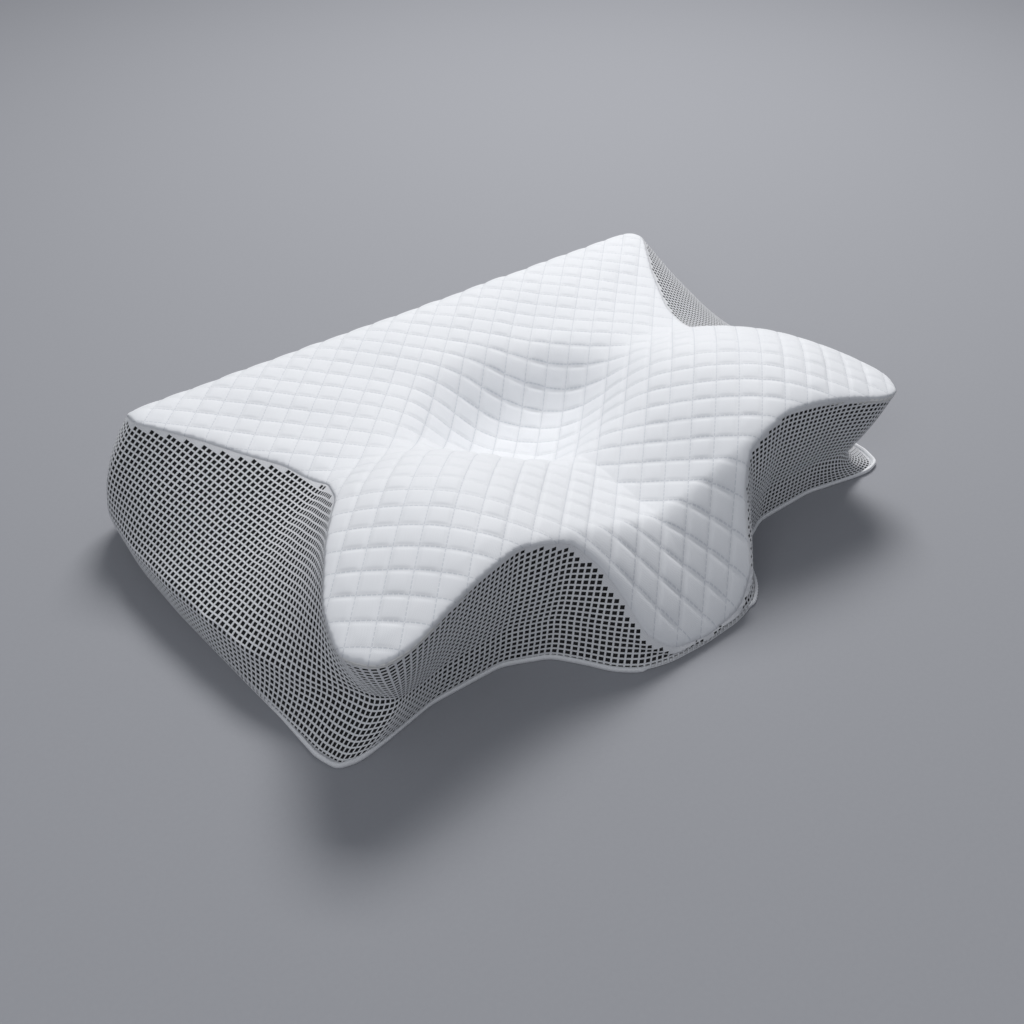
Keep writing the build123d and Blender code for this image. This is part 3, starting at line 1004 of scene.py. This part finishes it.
def nylon_finish(name, tone):
    material, nodes, links, shader, where = finish(name, tone, rough=0.35)
    shader.inputs["Subsurface Weight"].default_value = 0.1
    shader.inputs["Subsurface Scale"].default_value = 0.001
    grain = speckle(nodes, links, where, scale=800, detail=3)
    tinted(nodes, links, shader, grain, low=tuple(c * 0.93 for c in tone), high=tone)
    raised(nodes, links, shader, grain, distance=0.00003, strength=0.3)
    return material


# %% [markdown]
# ### A finish for every slot
# Each piece names a finish slot, and so does each CAD node in the record. One table gives every slot its
# material, so the meshes and the CAD pieces that are shown as they are take theirs the same way. The two
# colours of a cloth are the dark and the light of its threads.

# %% Finishes by slot
FINISHES = {
    "quilt_knit": quilt_finish(),
    "net_white": weave_finish("net yarn", (0.60, 0.61, 0.64), (0.84, 0.85, 0.87), 0.0008,
                              rough=0.7, sheen=0.1),
    "spacer_dark": weave_finish("black spacer", (0.004, 0.004, 0.005), (0.02, 0.02, 0.022), 0.0014,
                                rough=0.95, sheen=0.0),
    "binding": weave_finish("binding tape", (0.72, 0.73, 0.76), (0.90, 0.91, 0.93), 0.0007),
    "base_cloth": weave_finish("base cloth", (0.70, 0.72, 0.75), (0.88, 0.89, 0.91), 0.0009),
    "lining": weave_finish("lining", (0.74, 0.74, 0.72), (0.90, 0.90, 0.88), 0.0006),
    "wadding": weave_finish("wadding", (0.82, 0.82, 0.80), (0.95, 0.95, 0.93), 0.004,
                            rough=0.95, sheen=0.3, depth=0.0006),
    "foam": foam_finish(),
    "label": weave_finish("satin ribbon", (0.84, 0.84, 0.85), (0.95, 0.95, 0.95), 0.0004,
                          rough=0.45, sheen=0.3),
    "zip_tape": weave_finish("zip tape", (0.70, 0.71, 0.73), (0.89, 0.90, 0.91), 0.0008),
    "zip_coil": nylon_finish("nylon coil", (0.86, 0.87, 0.88)),
    "zip_stop": nylon_finish("moulded nylon", (0.83, 0.84, 0.85)),
    "thread": weave_finish("sewing thread", (0.76, 0.77, 0.79), (0.93, 0.93, 0.94), 0.0005),
    "zip_metal": enamel_finish(),
}
SLOT_OF = {part["node"]: part["material_slot"] for part in frame["record"]["subparts"]}
for node, shown in frame["nodes"].items():
    shown.data.materials.clear()
    shown.data.materials.append(FINISHES[SLOT_OF[node]])
for shown in bpy.data.objects:
    if shown.type == "MESH" and "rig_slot" in shown and shown.name not in frame["nodes"]:
        shown.data.materials.append(FINISHES[shown["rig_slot"]])
print("finishes", len(FINISHES))

# %% [markdown]
# ## Floor and light
# The pillow lies on a plain grey floor. One large soft lamp high at the back right gives the bright top and
# the soft shadow that falls forward and left; a weaker one in front keeps the net readable. The Standard view
# transform shows white cloth as white, where a film-like one would grey it.

# %% Floor, lamps and sky
FLOOR_HALF = 9.0
LAMP_AIM = Vector((0, 0, 0.05))
floor_mesh = bpy.data.meshes.new("floor")
corners = [(sx * FLOOR_HALF, sy * FLOOR_HALF, 0) for sx, sy in ((-1, -1), (1, -1), (1, 1), (-1, 1))]
floor_mesh.from_pydata(corners, [], [(0, 1, 2, 3)])
floor = bpy.data.objects.new("floor", floor_mesh)
bpy.context.collection.objects.link(floor)
floor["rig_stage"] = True
paper, nodes, links, shader, where = finish("floor paper", (0.33, 0.34, 0.36), rough=0.8)
mottle = speckle(nodes, links, where, scale=300, detail=4)
tinted(nodes, links, shader, mottle, low=(0.318, 0.326, 0.354), high=(0.336, 0.344, 0.370))
floor_mesh.materials.append(paper)


def lamp(name, place, size, power, tint):
    data = bpy.data.lights.new(name, "AREA")
    data.energy = power
    data.size = size
    data.color = tint
    made = bpy.data.objects.new(name, data)
    bpy.context.collection.objects.link(made)
    made.location = place
    made.rotation_euler = (Vector(place) - LAMP_AIM).to_track_quat("Z", "Y").to_euler()


lamp("key", (1.0, 1.0, 2.0), size=0.9, power=46, tint=(1.0, 0.99, 0.98))
lamp("fill", (-1.6, -1.0, 1.7), size=1.2, power=9, tint=(0.96, 0.98, 1.0))
bpy.context.scene.view_settings.view_transform = "Standard"
world = bpy.data.worlds.new("studio")
bpy.context.scene.world = world
world.use_nodes = True
sky = world.node_tree.nodes["Background"]
sky.inputs["Color"].default_value = (0.80, 0.83, 0.90, 1)
sky.inputs["Strength"].default_value = 0.28

# %% [markdown]
# ## Sizes
# The soft meshes may stand a little past the CAD solids, but not far. The box round everything shown is
# printed.

# %% Print the box round what is shown
low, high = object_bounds()
print("visual box", [round(v, 4) for v in low], [round(v, 4) for v in high])
